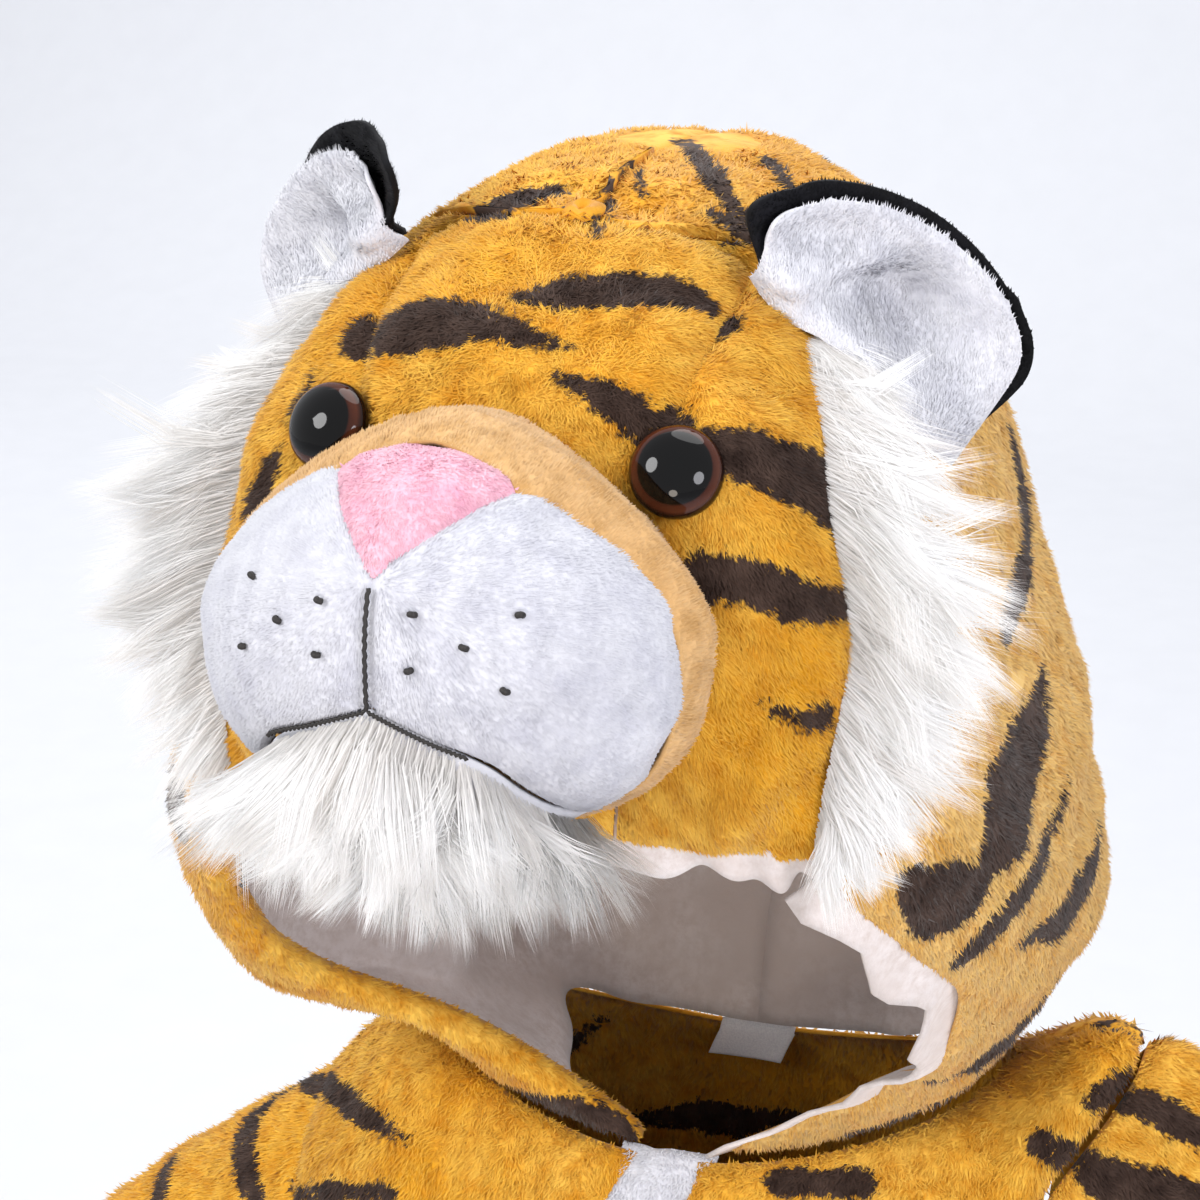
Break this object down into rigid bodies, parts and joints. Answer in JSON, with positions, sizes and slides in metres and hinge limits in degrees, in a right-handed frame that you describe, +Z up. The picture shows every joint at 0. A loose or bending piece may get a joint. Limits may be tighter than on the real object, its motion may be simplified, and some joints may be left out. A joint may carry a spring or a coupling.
{
  "type": "hooded animal costume",
  "caption": "Toddler's hooded plush one-piece filled out with no wearer: a stuffed tiger head on the hood, open neck front, long sleeves and legs, short studded front.",
  "frame": {"origin": "the middle of the neck at shoulder height, where the wearer's shoulders carry the garment", "axes": "+Z up; the tiger looks along -Y; its left side is +X"},
  "size_m": [0.7727, 0.4081, 1.0786],
  "materials": {
    "tiger_plush": "brushed velour plush, short pile",
    "lining_fleece": "matt white fleece",
    "white_plush": "short white plush",
    "tan_plush": "short tan plush",
    "pink_plush": "short pink plush",
    "black_plush": "short black plush",
    "long_fur": "long white pile fur",
    "eye_plastic": "polished",
    "label_tape": "woven tape, blank",
    "stud_plastic": "satin"
  },
  "bodies": {
    "root": {"back_left": "tiger_plush", "back_right": "tiger_plush", "chin_beard": "long_fur", "ear_back_left": "black_plush", "ear_back_right": "black_plush", "ear_inner_left": "white_plush", "ear_inner_right": "white_plush", "eye_left": "eye_plastic", "eye_right": "eye_plastic", "face_cheek_left": "tiger_plush", "face_cheek_right": "tiger_plush", "face_forehead": "tiger_plush", "front_left": "tiger_plush", "front_right": "tiger_plush", "front_underlap": "white_plush", "hood_lining_left": "lining_fleece", "hood_lining_right": "lining_fleece", "hood_side_left": "tiger_plush", "hood_side_right": "tiger_plush", "muzzle_band": "tan_plush", "muzzle_cheek_left": "white_plush", "muzzle_cheek_right": "white_plush", "muzzle_nose": "pink_plush", "neck_label": "label_tape", "ruff_left": "long_fur", "ruff_right": "long_fur", "sleeve_left": "tiger_plush", "sleeve_right": "tiger_plush", "stud_1": "stud_plastic", "stud_2": "stud_plastic", "stud_3": "stud_plastic", "stud_4": "stud_plastic", "stud_5": "stud_plastic"}
  },
  "joints": []
}
